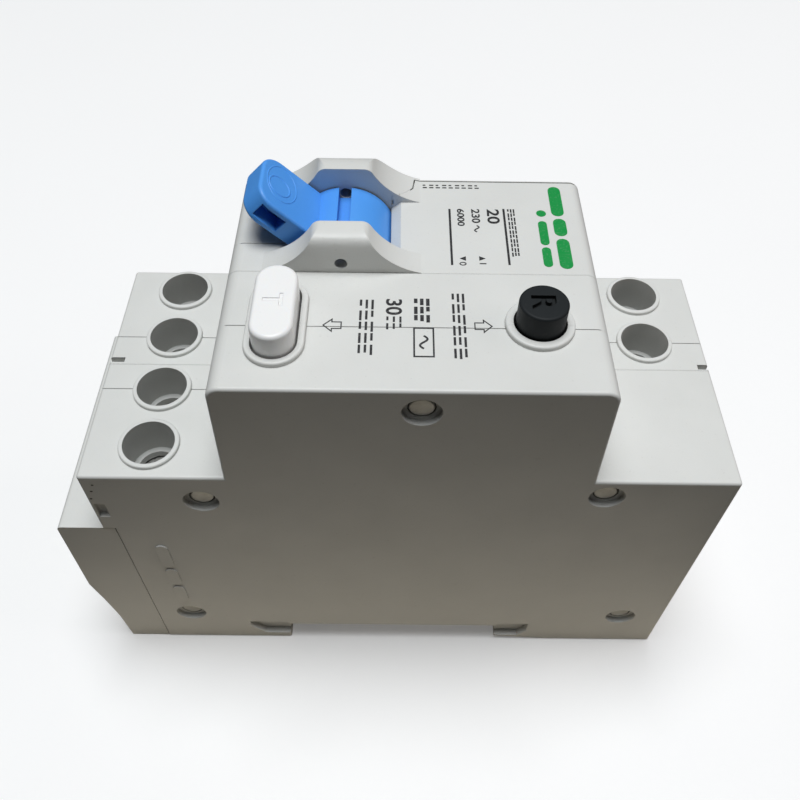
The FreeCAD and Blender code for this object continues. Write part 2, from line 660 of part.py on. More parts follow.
def toggle_spring():
    """The torsion spring round the pin, in the drum's end."""
    spring = coil_spring(0, 0, (0, 1.9), 2.2, 0.3, 2.2)
    spring.rotate(V(0, 0, 0), V(1, 0, 0), -90)
    spring.translate(V(TOGGLE_X, DRUM_SIDES[1] - 2.05, TOGGLE_Z))
    return spring


def toggle_link():
    """A wire bent into a hook at each end, from the drum's crank down to the contact carrier."""
    x = TOGGLE_X + CRANK * math.sin(math.radians(TOGGLE_SWING / 2))
    top = TOGGLE_Z - CRANK * math.cos(math.radians(TOGGLE_SWING / 2))
    bottom = top - LINK_LENGTH
    points = [(x, LINK_Y - 2.0, top), (x, LINK_Y, top), (x, LINK_Y, bottom), (x, LINK_Y - 2.9, bottom)]
    return bent_wire(points, 0.5, 0.7)


# Contacts. Arms and tips are drawn hanging straight down from the carrier's pin, then swung.

def hanging_arm(y):
    return box((TOGGLE_X - 0.6, TOGGLE_X + 0.6), y, (CARRIER_Z - 14.2, CARRIER_Z - 1.8))


def hanging_tip(y, near, far):
    middle = (y[0] + y[1]) / 2
    return rod_x(middle, CARRIER_Z - 12.4, 1.6, (TOGGLE_X + near, TOGGLE_X + far))


def contact_arms():
    return [turned(hanging_arm(y), TOGGLE_X, CARRIER_Z, ARM_REST) for y in POLES.values()]


def moving_tips():
    return [turned(hanging_tip(y, 0.6, 1.6), TOGGLE_X, CARRIER_Z, ARM_REST) for y in POLES.values()]


def fixed_tips():
    closed = ARM_REST - CARRIER_SWING
    return [turned(hanging_tip(y, 1.75, 2.7), TOGGLE_X, CARRIER_Z, closed) for y in POLES.values()]


def contact_carrier():
    """A hub on its pin that grips both contact arms, with an upright that the link pulls on."""
    hub = rod_y(TOGGLE_X, CARRIER_Z, 3.0, (2.4, 15.6))
    upright = box((TOGGLE_X - 1.9, TOGGLE_X + 1.9), (5.0, 7.2), (CARRIER_Z, CARRIER_Z + 21.5))
    slot = box((TOGGLE_X - 0.85, TOGGLE_X + 0.85), (4, 8), (CARRIER_Z + 17.0, CARRIER_Z + 20.1))
    upright = turned(upright.cut(slot), TOGGLE_X, CARRIER_Z, CARRIER_SWING / 2)
    grips = [box((TOGGLE_X - 1.5, TOGGLE_X + 1.5), (y[0] - 0.6, y[1] + 0.6), (CARRIER_Z - 5.4, CARRIER_Z))
             for y in POLES.values()]
    grips = [turned(grip, TOGGLE_X, CARRIER_Z, ARM_REST) for grip in grips]
    body = join([hub, upright] + grips)
    return body.cut(contact_arms() + [rod_y(TOGGLE_X, CARRIER_Z, PIN_R + 0.06, (0, MODULE))])


def supply_bars():
    """From each fixed contact, up over the arc chamber, to the tongue of the supply terminal."""
    closed = math.radians(ARM_REST - CARRIER_SWING)
    offset, low, high = 3.35, 16.0, 7.0
    foot = (TOGGLE_X + offset * math.cos(closed) - low * math.sin(closed),
            CARRIER_Z - low * math.cos(closed) - offset * math.sin(closed))
    knee = (TOGGLE_X + offset * math.cos(closed) - high * math.sin(closed),
            CARRIER_Z - high * math.cos(closed) - offset * math.sin(closed))
    tongue = (TONGUE_BOTTOM + TONGUE_TOP) / 2
    path = [foot, knee, (knee[0] + 0.4, 17.8), (26.0, 17.8), (26.0, tongue), (TERMINAL_X + 4.2, tongue)]
    return [bent_strip(path, TONGUE_TOP - TONGUE_BOTTOM, (y - 2.1, y + 2.1))
            for x, y in TERMINALS.values() if x > 0]


def load_bars():
    """The tongue of each load terminal, and its run down into the module."""
    tongue = (TONGUE_BOTTOM + TONGUE_TOP) / 2
    thickness = TONGUE_TOP - TONGUE_BOTTOM
    bars = []
    for x, y in TERMINALS.values():
        if x < 0:
            end = [(-24.6, 4.0), (-18.8, 4.0)] if y > 0 else [(-24.6, 18.6)]
            path = [(x - 4.2, tongue), (-24.6, tongue)] + end
            bars.append(bent_strip(path, thickness, (y - 2.1, y + 2.1)))
    return bars


def module_links():
    """Round bars from the breaker's load terminals, behind the skirt, into the residual-current module."""
    bars = []
    for name, (drop_x, level) in LINK_DROPS.items():
        y = TERMINALS[name][1]
        points = [(-34.5, y, LINK_LEVEL), (drop_x, y, LINK_LEVEL), (drop_x, y, level),
                  (drop_x, LINK_INLET_Y, level), (-26.3, LINK_INLET_Y, level)]
        bars.append(bent_wire(points, LINK_BAR_R, 1.3))
    return bars


# Trip pieces of the breaker

def bimetal_strip():
    return box((-20.6, -19.8), (11.0, 14.6), (4.7, 31.0))


def flexible_braids():
    """Copper braid from the bimetal, and from the neutral's bar, to the back of each contact arm."""
    phase = bent_wire([(-19.0, 12.8, 24.0), (-15.5, 12.8, 14.0), (-11.7, 12.8, 12.9)], 0.8, 2.0)
    neutral = bent_wire([(-18.0, 5.2, 5.6), (-15.5, 5.2, 9.0), (-11.9, 5.2, 12.0)], 0.8, 2.0)
    return [phase, neutral]


def arc_chute_plates():
    """A stack of thin steel plates, each with a notch that faces the contacts."""
    plates = []
    for number in range(8):
        level = 3.2 + 1.55 * number
        plate = box((1.0, 19.0), (10.3, 16.0), (level, level + 0.8))
        notch = prism([(0.5, level - 1), (5.5, level - 1), (5.5, level + 2), (0.5, level + 2)], (12.2, 14.1))
        plates.append(plate.cut(notch))
    return plates


def arc_chute_sides():
    """The two fibre cheeks that hold the plates."""
    return [box((1.0, 19.0), (9.6, 10.25), (2.6, 16.0)), box((1.0, 19.0), (16.05, 16.7), (2.6, 16.0))]


def pole_partition():
    """The insulating wall between the phase side and the neutral side."""
    return box((-0.5, 22.0), (8.0, 8.9), (2.0, 16.6))


def solenoid_frame(x, y, z):
    """A steel strap round a coil, open on two sides, with holes for the plunger in its end plates."""
    outer = box(x, y, z)
    inner = box((x[0] + 1.2, x[1] - 1.2), (y[0] - 1, y[1] + 1), (z[0] + 1.0, z[1] - 1.0))
    return outer.cut(inner)


def magnetic_coil():
    """Eight turns of thick wire round the plunger's tube."""
    coil = coil_spring(0, 0, (0, 14.0), 3.1, 0.7, 8)
    coil.rotate(V(0, 0, 0), V(0, 1, 0), 90)
    coil.translate(V(4.0, PLUNGER_Y, PLUNGER_Z))
    return coil


def magnetic_yoke():
    frame = solenoid_frame((2.4, 19.6), (9.4, 16.3), (25.2, 35.8))
    tube = rod_x(PLUNGER_Y, PLUNGER_Z, 2.2, (3.0, 19.0))
    bore = rod_x(PLUNGER_Y, PLUNGER_Z, 1.66, (0, 25))
    return join([frame, tube]).cut(bore)


def magnetic_plunger():
    head = rod_x(PLUNGER_Y, PLUNGER_Z, 1.6, (2.6, 15.0))
    nose = rod_x(PLUNGER_Y, PLUNGER_Z, 1.1, (-2.15, 2.7))
    return join([head, nose])


def trip_lever():
    """Hangs from the trip pin in front of the plunger's nose."""
    hub = rod_y(TRIP_X, TRIP_Z, 2.0, (9.6, 15.5))
    arm = box((TRIP_X - 0.8, TRIP_X + 0.8), (9.6, 15.5), (28.2, TRIP_Z))
    catch = box((TRIP_X - 4.6, TRIP_X), (9.6, 12.0), (TRIP_Z, TRIP_Z + 1.4))
    return join([hub, arm, catch]).cut(rod_y(TRIP_X, TRIP_Z, TRIP_PIN_R + 0.06, (0, MODULE)))


def trip_pins():
    return [rod_y(TRIP_X, TRIP_Z, TRIP_PIN_R, y) for y in ((9.3, 17.2), (-15.8, -1.0))]


# Residual-current pieces

def sensing_core():
    outer = rod_y(CORE_X, CORE_Z, CORE_RADII[1], CORE_SIDES)
    ring = outer.cut(rod_y(CORE_X, CORE_Z, CORE_RADII[0], (-MODULE, 0)))
    return ring.makeFillet(0.5, edges_at_y(ring, CORE_SIDES[0]) + edges_at_y(ring, CORE_SIDES[1]))


def sensing_winding():
    """Fine wire wound over part of the ring, as ribbed sectors."""
    depth = (-MODULE, 0)
    limits = (CORE_SIDES[0] - 0.6, CORE_SIDES[1] + 0.6)
    sleeve = rod_y(CORE_X, CORE_Z, CORE_RADII[1] + 0.6, limits)
    sleeve = sleeve.cut(rod_y(CORE_X, CORE_Z, CORE_RADII[0] - 0.5, depth))
    ring_sides = (CORE_SIDES[0] - 0.05, CORE_SIDES[1] + 0.05)
    ring_space = rod_y(CORE_X, CORE_Z, CORE_RADII[1] + 0.05, ring_sides)
    sleeve = sleeve.cut(ring_space.cut(rod_y(CORE_X, CORE_Z, CORE_RADII[0] - 0.05, depth)))
    sector = prism([(CORE_X, CORE_Z), (CORE_X + 20, CORE_Z + 14), (CORE_X + 20, CORE_Z - 14)], (-MODULE, 0))
    return sleeve.common(sector)


def primary_wires():
    """Two insulated conductors: from the links, through the core, to the load terminals' bars."""
    near, far = LINK_INLET_Y, -15.3
    phase = [(-25.8, near, 11.5), (-14.5, near, 11.5), (-2.0, near, 16.5), (-2.0, far, 16.5),
             (-14.5, far, 19.0), (-22.4, -13.1, 19.5)]
    neutral = [(-25.8, near, 8.4), (-12.0, near, 6.0), (2.0, near, 12.0), (2.0, far, 12.0),
               (-12.5, far, 6.0), (-18.5, -10.5, 9.0), (-18.5, -6.6, 18.0), (-22.4, -4.4, 20.6)]
    return [bent_wire(phase, 1.2, 2.0), bent_wire(neutral, 1.2, 2.0)]


def circuit_board():
    return box((20.0, 37.6), (-15.8, -14.6), (8.6, 34.6))


def varistor():
    disc = rod_y(31.5, 27.4, 4.4, (-14.0, -10.6))
    disc = disc.makeFillet(1.2, edges_at_y(disc, -14.0) + edges_at_y(disc, -10.6))
    leads = [rod_y(x, 23.4, 0.4, (-14.5, -12.9)) for x in (29.8, 33.2)]
    return join([disc] + leads)


def capacitor():
    can = rod_x(-11.2, 14.0, 3.1, (22.4, 32.6))
    return can.makeFillet(0.5, [e for e in can.Edges if e.BoundBox.XLength < EPS])


def board_parts():
    """A controller chip, a thyristor, and three resistors."""
    chip = box((21.4, 26.4), (-14.55, -13.0), (24.0, 28.0))
    thyristor = box((21.6, 26.0), (-14.55, -12.7), (30.2, 33.8))
    resistors = [rod_x(-13.6, z, 0.85, (28.6, 35.4)) for z in (9.8, 18.6, 20.8)]
    return [chip, thyristor] + resistors


def relay_coil():
    return rod_x(RELAY_Y, PLUNGER_Z, 4.0, (4.0, 16.0)).cut(rod_x(RELAY_Y, PLUNGER_Z, 2.1, (0, 20)))


def relay_frame():
    frame = solenoid_frame((2.4, 17.6), (-12.9, -5.9), (25.4, 35.6))
    tube = rod_x(RELAY_Y, PLUNGER_Z, 2.0, (3.0, 17.0))
    return join([frame, tube]).cut(rod_x(RELAY_Y, PLUNGER_Z, 1.46, (0, 25)))


def relay_plunger():
    return join([rod_x(RELAY_Y, PLUNGER_Z, 1.4, (2.0, 14.0)), rod_x(RELAY_Y, PLUNGER_Z, 0.9, (-2.15, 2.1))])


def transfer_lever():
    """Passes the relay's push through the wall between the modules, towards the trip lever."""
    hub = rod_y(TRIP_X, TRIP_Z, 2.0, (-11.0, -2.2))
    arm = box((TRIP_X - 0.8, TRIP_X + 0.8), (-11.0, -2.2), (28.6, TRIP_Z - 1))
    bridge = box((TRIP_X, 0.7), (-5.0, -2.2), (33.2, 34.8))
    finger = box((-0.7, 0.7), (-3.0, 10.6), (33.2, 34.8))
    return join([hub, arm, bridge, finger]).cut(rod_y(TRIP_X, TRIP_Z, TRIP_PIN_R + 0.06, (-MODULE, MODULE)))


# Buttons

def button_spring(x, ledge, mean_r, wire_r):
    """Stands on its ledge and carries the button's flange, with a hair of slack at each end."""
    return coil_spring(x, BUTTON_Y, (ledge + 0.05, BUTTON_FLANGE[0] - 0.05), mean_r, wire_r, 6)


def test_button():
    top = stadium(TEST_X, BUTTON_Y, *TEST_HALF, (NOSE_TOP - 3.0, TEST_TOP))
    top = top.makeFillet(0.5, edges_at_z(top, TEST_TOP))
    flange = stadium(TEST_X, BUTTON_Y, 3.1, 6.4, BUTTON_FLANGE)
    stem = rod_z(TEST_X, BUTTON_Y, 1.25, (45.4, 57.0))
    return join([top, flange, stem])


def reset_button():
    top = rod_z(RESET_X, BUTTON_Y, RESET_R, (NOSE_TOP - 3.0, RESET_TOP))
    top = top.makeFillet(0.3, edges_at_z(top, RESET_TOP))
    flange = rod_z(RESET_X, BUTTON_Y, 3.6, BUTTON_FLANGE)
    stem = rod_z(RESET_X, BUTTON_Y, 1.35, (43.0, 57.0))
    return join([top, flange, stem])


def test_blade():
    """The sprung contact that the test button's stem bends down."""
    return bent_strip([(-19.2, 46.0), (-17.9, 43.4), (-12.8, 43.4)], 0.3, (-10.3, -6.3))


def test_resistor():
    body = rod_x(-5.4, 41.6, 1.2, (-19.0, -12.0))
    leads = rod_x(-5.4, 41.6, 0.35, (-20.0, -11.0))
    return join([body, leads])


# Terminals

def terminal_screw(x, y):
    """A captive screw with a cross slot in its head."""
    head_top = LEDGE - 0.2
    head = rod_z(x, y, HEAD_R, (HEAD_BOTTOM, head_top))
    head = head.makeChamfer(0.3, edges_at_z(head, head_top))
    shank = rod_z(x, y, SHANK_R, (TONGUE_TOP + 0.1, HEAD_BOTTOM + 0.5))
    depth = (head_top - 1.5, head_top + 1)
    reach, half_width = 2.0, 0.4
    cross = [
        box((x - reach, x + reach), (y - half_width, y + half_width), depth),
        box((x - half_width, x + half_width), (y - reach, y + reach), depth),
    ]
    return join([head, shank]).cut(cross)


def terminal_cage(x, y):
    """A rising cage: the screw lifts it, and its floor presses the wire up against the tongue."""
    outer = box((x - CAGE_HALF[0], x + CAGE_HALF[0]), (y - CAGE_HALF[1], y + CAGE_HALF[1]),
                (CAGE_BOTTOM, CAGE_TOP))
    window = box((x - 5, x + 5), (y - 2.25, y + 2.25), (CAGE_BOTTOM + 1.6, TONGUE_TOP + 0.2))
    return outer.cut([window, rod_z(x, y, SHANK_R + 0.05, (TONGUE_TOP - 1, CAGE_TOP + 1))])


def build():
    os.makedirs("parts", exist_ok=True)
    breaker_front, breaker_rear = breaker_shells()
    residual_front, residual_rear = residual_shells()
    save("breaker_front_shell", breaker_front)
    save("breaker_rear_shell", breaker_rear)
    save("residual_front_shell", residual_front)
    save("residual_rear_shell", residual_rear)
    save("terminal_skirt", skirt())
    save("assembly_rivets", *rivets())
    save("breaker_rail_clip", rail_clip(MODULE / 2))
    save("residual_rail_clip", rail_clip(-MODULE / 2))

    save("toggle_handle", toggle_handle())
    save("toggle_pin", rod_y(TOGGLE_X, TOGGLE_Z, PIN_R, (0.8, MODULE - 0.8)))
    save("toggle_spring", toggle_spring())
    save("toggle_link", toggle_link())

    save("contact_carrier", contact_carrier())
    save("carrier_pin", rod_y(TOGGLE_X, CARRIER_Z, PIN_R, (0.8, MODULE - 0.8)))
    save("contact_arms", *contact_arms())
    save("moving_tips", *moving_tips())
    save("fixed_tips", *fixed_tips())
    save("supply_bars", *supply_bars())
    save("load_bars", *load_bars())
    save("module_links", *module_links())

    save("bimetal_strip", bimetal_strip())
    save("flexible_braids", *flexible_braids())
    save("arc_chute_plates", *arc_chute_plates())
    save("arc_chute_sides", *arc_chute_sides())
    save("pole_partition", pole_partition())
    save("magnetic_coil", magnetic_coil())
    save("magnetic_yoke", magnetic_yoke())
    save("magnetic_plunger", magnetic_plunger())
    save("trip_lever", trip_lever())
    save("trip_pins", *trip_pins())

    save("sensing_core", sensing_core())
    save("sensing_winding", sensing_winding())
    save("primary_wires", *primary_wires())
    save("circuit_board", circuit_board())
    save("varistor", varistor())
    save("capacitor", capacitor())
    save("board_parts", *board_parts())
    save("relay_coil", relay_coil())
    save("relay_frame", relay_frame())
    save("relay_plunger", relay_plunger())
    save("transfer_lever", transfer_lever())

    save("test_button", test_button())
    save("test_spring", button_spring(TEST_X, TEST_LEDGE, 1.9, 0.25))
    save("test_blade", test_blade())
    save("test_resistor", test_resistor())
    save("reset_button", reset_button())
    save("reset_spring", button_spring(RESET_X, RESET_LEDGE, 2.1, 0.3))

    for name, (x, y) in TERMINALS.items():
        save(name + "_screw", terminal_screw(x, y))
        save(name + "_cage", terminal_cage(x, y))


build()
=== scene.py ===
import json
import math

import bmesh
import bpy
from mathutils import Matrix, Vector


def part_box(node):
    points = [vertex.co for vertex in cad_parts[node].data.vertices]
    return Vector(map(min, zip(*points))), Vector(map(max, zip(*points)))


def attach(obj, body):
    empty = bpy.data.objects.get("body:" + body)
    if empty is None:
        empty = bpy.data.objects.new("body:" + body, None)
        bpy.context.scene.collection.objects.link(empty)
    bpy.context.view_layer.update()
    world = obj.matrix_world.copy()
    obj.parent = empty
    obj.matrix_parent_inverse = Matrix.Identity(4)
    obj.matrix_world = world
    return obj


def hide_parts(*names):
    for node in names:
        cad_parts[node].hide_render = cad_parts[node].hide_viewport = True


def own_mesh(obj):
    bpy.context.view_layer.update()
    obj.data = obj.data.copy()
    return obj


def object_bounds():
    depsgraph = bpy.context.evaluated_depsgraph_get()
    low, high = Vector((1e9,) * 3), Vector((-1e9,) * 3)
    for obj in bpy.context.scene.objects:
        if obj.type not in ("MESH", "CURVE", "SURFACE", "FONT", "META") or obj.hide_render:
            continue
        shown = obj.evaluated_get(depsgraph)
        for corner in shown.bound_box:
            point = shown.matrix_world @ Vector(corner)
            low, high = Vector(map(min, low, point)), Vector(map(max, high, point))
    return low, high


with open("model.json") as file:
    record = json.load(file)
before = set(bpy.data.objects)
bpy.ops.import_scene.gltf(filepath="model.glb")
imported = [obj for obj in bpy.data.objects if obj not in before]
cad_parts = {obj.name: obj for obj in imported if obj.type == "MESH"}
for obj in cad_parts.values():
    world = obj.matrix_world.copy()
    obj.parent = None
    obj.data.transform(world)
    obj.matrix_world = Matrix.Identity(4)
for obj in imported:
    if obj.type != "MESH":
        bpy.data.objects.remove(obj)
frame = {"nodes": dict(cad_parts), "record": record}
cad_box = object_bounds()

# The looks of a two-module residual current breaker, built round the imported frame.
# Lengths in this script are in millimetres, in the row frame, and become metres through MM.

MM = 0.001
NODES = frame["nodes"]


def box_mm(node):
    """The low and high corners of a CAD node at rest, in millimetres."""
    low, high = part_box(node)
    return low / MM, high / MM


# Driving dimensions, from the frame
COLLAR_RISE = 0.6           # the button collars stand this far above the nose
NOSE_TOP = box_mm("residual_front_shell")[1].z - COLLAR_RISE
SIDE_FACE = box_mm("residual_front_shell")[0].y
FLOOR_LEVEL = cad_box[0].z / MM - 0.02      # a hair under the feet
TEST_LOW, TEST_HIGH = box_mm("test_button")
RESET_LOW, RESET_HIGH = box_mm("reset_button")

# Printing and moulded marks
INK_THICKNESS = 0.03
FINE_STROKE = 0.13          # hollow arrows and the sign for off
SIGN_STROKE = 0.17
TEXT_STROKE = 0.19          # the smallest words, and the box round the large sine mark
CODE_STROKE = 0.2
UNIT_STROKE = 0.24
WORD_STROKE = 0.27          # the words between the buttons, and the rules beside the toggle
BOLD_STROKE = 0.4
SIDE_RELIEF = 0.22          # the moulded bars stand this far off the side face
TEST_LETTER_DEPTH = 0.08
RESET_LETTER_DEPTH = 0.5

# The toggle's lever
TOGGLE_AXIS = Vector((-8.4, 0, 55.3))
TOGGLE_LEAN = math.radians(-46)
LEVER_HALF = 1.72


# Shader graphs

class Graph:
    """One material's node graph. Noise scales are in cycles per millimetre of the part."""

    def __init__(self, name):
        self.material = bpy.data.materials.new(name)
        self.material.use_nodes = True
        self.tree = self.material.node_tree
        self.surface = self.tree.nodes["Principled BSDF"]
        place = self.add("ShaderNodeTexCoord").outputs["Object"]
        scaled = self.add("ShaderNodeVectorMath", {0: place, "Scale": 1 / MM}, operation="SCALE")
        self.place = scaled.outputs["Vector"]

    def add(self, kind, inputs=None, **settings):
        node = self.tree.nodes.new(kind)
        for key, value in settings.items():
            setattr(node, key, value)
        for key, value in (inputs or {}).items():
            if isinstance(value, bpy.types.NodeSocket):
                self.tree.links.new(value, node.inputs[key])
            else:
                node.inputs[key].default_value = value
        return node

    def set(self, name, value):
        socket = self.surface.inputs[name]
        if isinstance(value, bpy.types.NodeSocket):
            self.tree.links.new(value, socket)
        else:
            socket.default_value = value

    def noise(self, scale, detail=3.0, stretch=(1, 1, 1)):
        place = self.add("ShaderNodeMapping", {"Vector": self.place, "Scale": stretch}).outputs["Vector"]
        inputs = {"Vector": place, "Scale": scale, "Detail": detail, "Roughness": 0.55}
        return self.add("ShaderNodeTexNoise", inputs).outputs[0]

    def remap(self, value, low, high, to_low=0.0, to_high=1.0):
        inputs = {"Value": value, "From Min": low, "From Max": high, "To Min": to_low, "To Max": to_high}
        return self.add("ShaderNodeMapRange", inputs).outputs["Result"]

    def times(self, a, b):
        return self.add("ShaderNodeMath", {0: a, 1: b}, operation="MULTIPLY").outputs[0]

    def mix(self, share, a, b):
        colours = [c if isinstance(c, bpy.types.NodeSocket) else (*c, 1.0) for c in (a, b)]
        inputs = {0: share, 6: colours[0], 7: colours[1]}
        return self.add("ShaderNodeMix", inputs, data_type="RGBA").outputs[2]

    def edges(self, radius):
        """The normal rounded over edges, and a mask that is 1 on the edges."""
        rounded = self.add("ShaderNodeBevel", {"Radius": radius * MM}, samples=4).outputs["Normal"]
        facing = self.add("ShaderNodeNewGeometry").outputs["Normal"]
        agree = self.add("ShaderNodeVectorMath", {0: rounded, 1: facing}, operation="DOT_PRODUCT")
        return rounded, self.remap(agree.outputs["Value"], 0.99, 0.8)

    def corners(self, reach):
        """A mask that is 1 deep in corners, joints and recesses."""
        open_share = self.add("ShaderNodeAmbientOcclusion", {"Distance": reach * MM}, samples=4)
        return self.remap(open_share.outputs["AO"], 0.75, 0.25)

    def bumps(self, normal, *layers):
        """Bump layers of (height, depth in mm) over a normal."""
        for height, depth in layers:
            inputs = {"Height": height, "Distance": depth * MM, "Strength": 1.0, "Normal": normal}
            normal = self.add("ShaderNodeBump", inputs).outputs["Normal"]
        self.set("Normal", normal)


def moulded_plastic(name, colour, shade, roughness, grain=0.006, grain_scale=4.5, edge=0.12,
                    wear=0.5, dirt_and_shade=(0.16, 0.14, 0.11), dust_and_shade_share=0.35, recess_shade_share=0.5, bleed=0.0,
                    gloss=0.4):
    """Spark-eroded moulded plastic: fine grain, slow sink marks, rubbed edges, dust and painted shade in the
    corners, painted shade in deep recesses.
    """
    graph = Graph(name)
    clouds = graph.remap(graph.noise(0.07, 4), 0.3, 0.7)
    base = graph.mix(graph.times(clouds, 0.7), colour, shade)
    specks = graph.remap(graph.noise(2.3, 2), 0.66, 0.8)
    base = graph.mix(graph.times(specks, 0.12), base, dirt_and_shade)
    rounded, on_edge = graph.edges(edge)
    rubbed = graph.times(graph.times(on_edge, graph.remap(graph.noise(0.6, 4), 0.35, 0.65)), wear)
    lighter = tuple(min(1.0, c * 1.12 + 0.03) for c in colour)
    base = graph.mix(rubbed, base, lighter)
    # Dust and painted shade in joints and corners: darkened towards the dirt colour where ambient occlusion
    # is high, mottled by noise.
    joint_reach = 1.1
    dust_and_joint_shade = graph.times(graph.corners(joint_reach), graph.remap(graph.noise(0.35, 5), 0.25, 0.75))
    base = graph.mix(graph.times(dust_and_joint_shade, dust_and_shade_share), base, dirt_and_shade)
    # Painted shade in deep recesses such as the wells and under the humps: darkened towards a fifth of the
    # colour.
    recess_shade_reach = 7.0
    painted_recess_shade = graph.times(graph.corners(recess_shade_reach), recess_shade_share)
    base = graph.mix(painted_recess_shade, base, tuple(0.2 * c for c in colour))
    graph.set("Base Color", base)
    fine = graph.noise(grain_scale, 2)
    handled = graph.noise(0.25, 4)
    rough = graph.remap(handled, 0.3, 0.7, roughness - 0.06, roughness + 0.07)
    graph.set("Roughness", rough)
    graph.set("Specular IOR Level", gloss)
    graph.set("Subsurface Weight", bleed)
    graph.set("Subsurface Radius", (1.0, 0.8, 0.6))
    graph.set("Subsurface Scale", 0.4 * MM)
    graph.bumps(rounded, (graph.noise(0.12, 2), 0.05), (fine, grain))
    return graph.material


def plated_metal(name, colour, tarnish, roughness, brush=(1, 1, 9), patches=0.5, edge=0.06):
    """Metal with drawn lines along one direction, dull patches and brighter edges."""
    graph = Graph(name)
    patch = graph.remap(graph.noise(0.5, 5), 0.4, 0.68)
    base = graph.mix(graph.times(patch, patches), colour, tarnish)
    rounded, on_edge = graph.edges(edge)
    bright = tuple(min(1.0, c * 1.25) for c in colour)
    base = graph.mix(graph.times(on_edge, 0.6), base, bright)
    base = graph.mix(graph.times(graph.corners(0.8), 0.5), base, (0.05, 0.045, 0.04))
    lines = graph.noise(1.6, 3, brush)
    graph.set("Base Color", base)
    graph.set("Metallic", 1.0)
    graph.set("Roughness", graph.remap(lines, 0.3, 0.7, roughness - 0.08, roughness + 0.12))
    graph.bumps(rounded, (lines, 0.008), (graph.noise(6, 2), 0.003))
    return graph.material


def printed_ink(name, colour):
    """Pad-printed ink: slightly uneven cover and a satin film over the plastic's grain."""
    graph = Graph(name)
    cover = graph.remap(graph.noise(3.5, 3), 0.55, 0.8, 0.0, 0.35)
    lighter = tuple(c + (1 - c) * 0.35 for c in colour)
    graph.set("Base Color", graph.mix(cover, colour, lighter))
    graph.set("Roughness", graph.remap(graph.noise(1.2, 3), 0.3, 0.7, 0.4, 0.6))
    graph.bumps(graph.add("ShaderNodeNewGeometry").outputs["Normal"], (graph.noise(4.5, 2), 0.006))
    return graph.material


def wound_wire(name, colour, tarnish):
    """Enamelled or stranded wire: lines along the lay, with a glossy enamel."""
    graph = Graph(name)
    lay = graph.add("ShaderNodeTexWave", {"Vector": graph.place, "Scale": 1.1, "Distortion": 1.5},
                    bands_direction="DIAGONAL").outputs[0]
    graph.set("Base Color", graph.mix(graph.times(lay, 0.5), colour, tarnish))
    graph.set("Metallic", 0.85)
    graph.set("Roughness", graph.remap(graph.noise(1.5, 3), 0.3, 0.7, 0.22, 0.4))
    graph.set("Coat Weight", 0.5)
    graph.bumps(graph.edges(0.05)[0], (lay, 0.02))
    return graph.material


def circuit_laminate(name):
    """Green solder resist over copper tracks, with drill-like dots."""
    graph = Graph(name)
    tracks = graph.add("ShaderNodeTexBrick", {"Vector": graph.place, "Scale": 0.9, "Mortar Size": 0.05})
    green = graph.mix(graph.noise(0.3, 4), (0.01, 0.14, 0.05), (0.02, 0.2, 0.08))
    lit = graph.mix(graph.times(tracks.outputs["Fac"], 0.8), green, (0.06, 0.32, 0.12))
    pads = graph.add("ShaderNodeTexVoronoi", {"Vector": graph.place, "Scale": 0.8}).outputs["Distance"]
    graph.set("Base Color", graph.mix(graph.remap(pads, 0.16, 0.12), lit, (0.72, 0.7, 0.66)))
    graph.set("Roughness", graph.remap(graph.noise(1.0, 3), 0.3, 0.7, 0.25, 0.4))
    graph.bumps(graph.edges(0.05)[0], (tracks.outputs["Fac"], 0.02))
    return graph.material


# One material for each slot of the record

